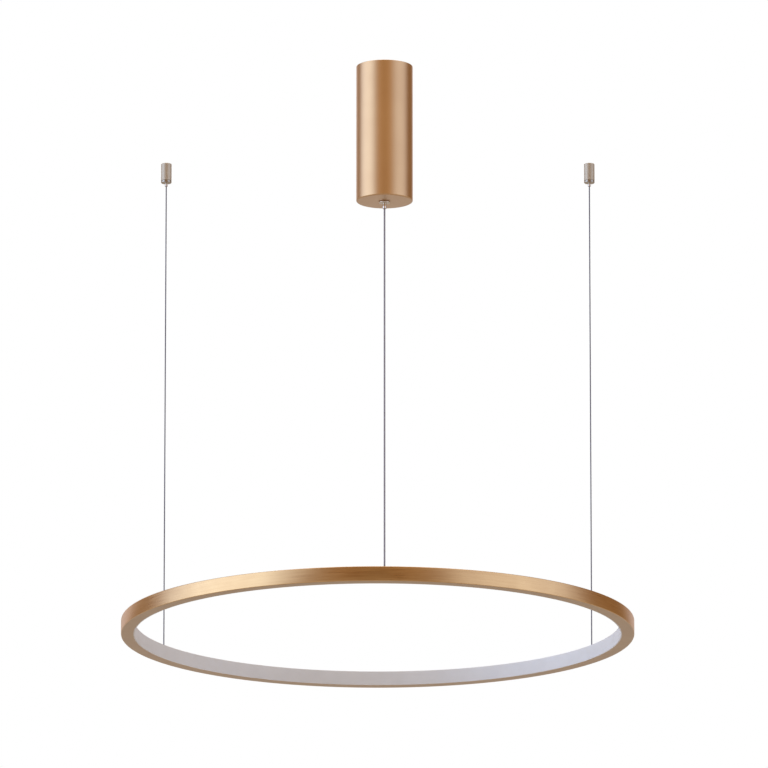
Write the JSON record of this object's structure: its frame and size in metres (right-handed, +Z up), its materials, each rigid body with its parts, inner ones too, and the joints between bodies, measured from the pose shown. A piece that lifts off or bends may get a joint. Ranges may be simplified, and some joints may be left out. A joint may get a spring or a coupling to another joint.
{
  "type": "ring pendant light",
  "caption": "Slim light ring, glowing inwards, hung level on a feed cable and two steel wires from a tall driver canister and two small ceiling anchors.",
  "frame": {"origin": "On the canister's axis in the ceiling's plane, which is the top of the ceiling bracket. Everything hangs below it.", "axes": "+Z up, normal to the ceiling. -Y is the front, the side of the canister that the picture shows. The ring lies behind the canister, towards +Y, and +X is to the right."},
  "size_m": [0.6, 0.6249, 0.609],
  "materials": {
    "zinc_steel": "zinc plated, satin",
    "champagne_aluminium": "brushed round the axis, champagne anodised",
    "rubber_black": "matt",
    "black_steel": "black oxide",
    "driver_case": "fine matt texture",
    "terminal_plastic": "glossy",
    "lead_sheath": "satin",
    "nickel_polished": "polished nickel",
    "nickel_satin": "satin nickel, turned",
    "spring_steel": "drawn wire",
    "ball_steel": "polished",
    "cable_sheath": "satin grey",
    "wire_steel": "drawn steel wire",
    "opal_plastic": "opal, satin",
    "strip_board": "white solder mask",
    "chip_phosphor": "yellow gel",
    "connector_plastic": "white",
    "strip_lead_sheath": "red"
  },
  "bodies": {
    "ceiling_set": {"ceiling_bracket": "zinc_steel", "cable_grommet": "rubber_black", "canister_shell": "champagne_aluminium", "shell_screws": "black_steel", "driver_carrier": "zinc_steel", "carrier_screws": "zinc_steel", "led_driver": "driver_case", "driver_screws": "zinc_steel", "terminal_block": "terminal_plastic", "mains_leads": "lead_sheath", "gland_body": "nickel_polished", "gland_nut": "nickel_satin", "gland_plug": "nickel_satin", "gland_spring": "spring_steel", "feed_cable_end": "cable_sheath", "left_anchor_base": "zinc_steel", "left_anchor_barrel": "nickel_satin", "left_anchor_nose": "nickel_satin", "left_spring": "spring_steel", "left_wire_end": "wire_steel", "right_anchor_base": "zinc_steel", "right_anchor_barrel": "nickel_satin", "right_anchor_nose": "nickel_satin", "right_spring": "spring_steel", "right_wire_end": "wire_steel"},
    "gland_release": {"gland_plunger": "nickel_polished", "gland_balls": "ball_steel"},
    "left_release": {"left_plunger": "nickel_polished", "left_balls": "ball_steel"},
    "right_release": {"right_plunger": "nickel_polished", "right_balls": "ball_steel"},
    "feed_line": {"feed_cable": "cable_sheath"},
    "feed_end": {"feed_stop": "nickel_satin"},
    "left_line": {"left_wire": "wire_steel"},
    "right_line": {"right_wire": "wire_steel"},
    "light_ring": {"left_stop": "nickel_satin", "right_stop": "nickel_satin", "ring_profile": "champagne_aluminium", "diffuser": "opal_plastic", "led_strip": "strip_board", "led_chips": "chip_phosphor", "ring_bushes": "nickel_satin", "bush_nuts": "nickel_satin", "strip_connector": "connector_plastic", "strip_leads": "strip_lead_sheath"}
  },
  "joints": [
    {"name": "gland_press", "type": "slide", "parent": "ceiling_set", "child": "gland_release", "axis": [0, 0, 1], "range_m": [0, 0.002], "stiffness_N_per_m": 400, "springref_m": -0.002, "deforming": ["gland_spring"]},
    {"name": "left_press", "type": "slide", "parent": "ceiling_set", "child": "left_release", "axis": [0, 0, 1], "range_m": [0, 0.002], "stiffness_N_per_m": 400, "springref_m": -0.002, "deforming": ["left_spring"]},
    {"name": "right_press", "type": "slide", "parent": "ceiling_set", "child": "right_release", "axis": [0, 0, 1], "range_m": [0, 0.002], "stiffness_N_per_m": 400, "springref_m": -0.002, "deforming": ["right_spring"]},
    {"name": "sway", "type": "hinge", "parent": "ceiling_set", "child": "feed_line", "pos_m": [0, 0, -0.168], "axis": [0, 1, 0], "range_deg": [-4, 4]},
    {"name": "height", "type": "slide", "parent": "feed_line", "child": "feed_end", "axis": [0, 0, 1], "range_m": [0, 0.15], "deforming": ["feed_cable", "left_wire", "right_wire"]},
    {"name": "ring_level", "type": "hinge", "parent": "feed_end", "child": "light_ring", "pos_m": [0, 0, -0.597], "axis": [0, 1, 0], "range_deg": [-4, 4]},
    {"name": "left_sway", "type": "hinge", "parent": "ceiling_set", "child": "left_line", "pos_m": [-0.26131, 0.43864, -0.0267], "axis": [0, 1, 0], "range_deg": [-3.1, 3.1]},
    {"name": "right_sway", "type": "hinge", "parent": "ceiling_set", "child": "right_line", "pos_m": [0.24531, 0.43864, -0.0267], "axis": [0, 1, 0], "range_deg": [-3.1, 3.1]}
  ],
  "couplings": [
    {"joint": "ring_level", "follows": "sway", "ratio": -1},
    {"joint": "left_sway", "follows": "sway", "ratio": 0.75224},
    {"joint": "right_sway", "follows": "sway", "ratio": 0.75224}
  ]
}
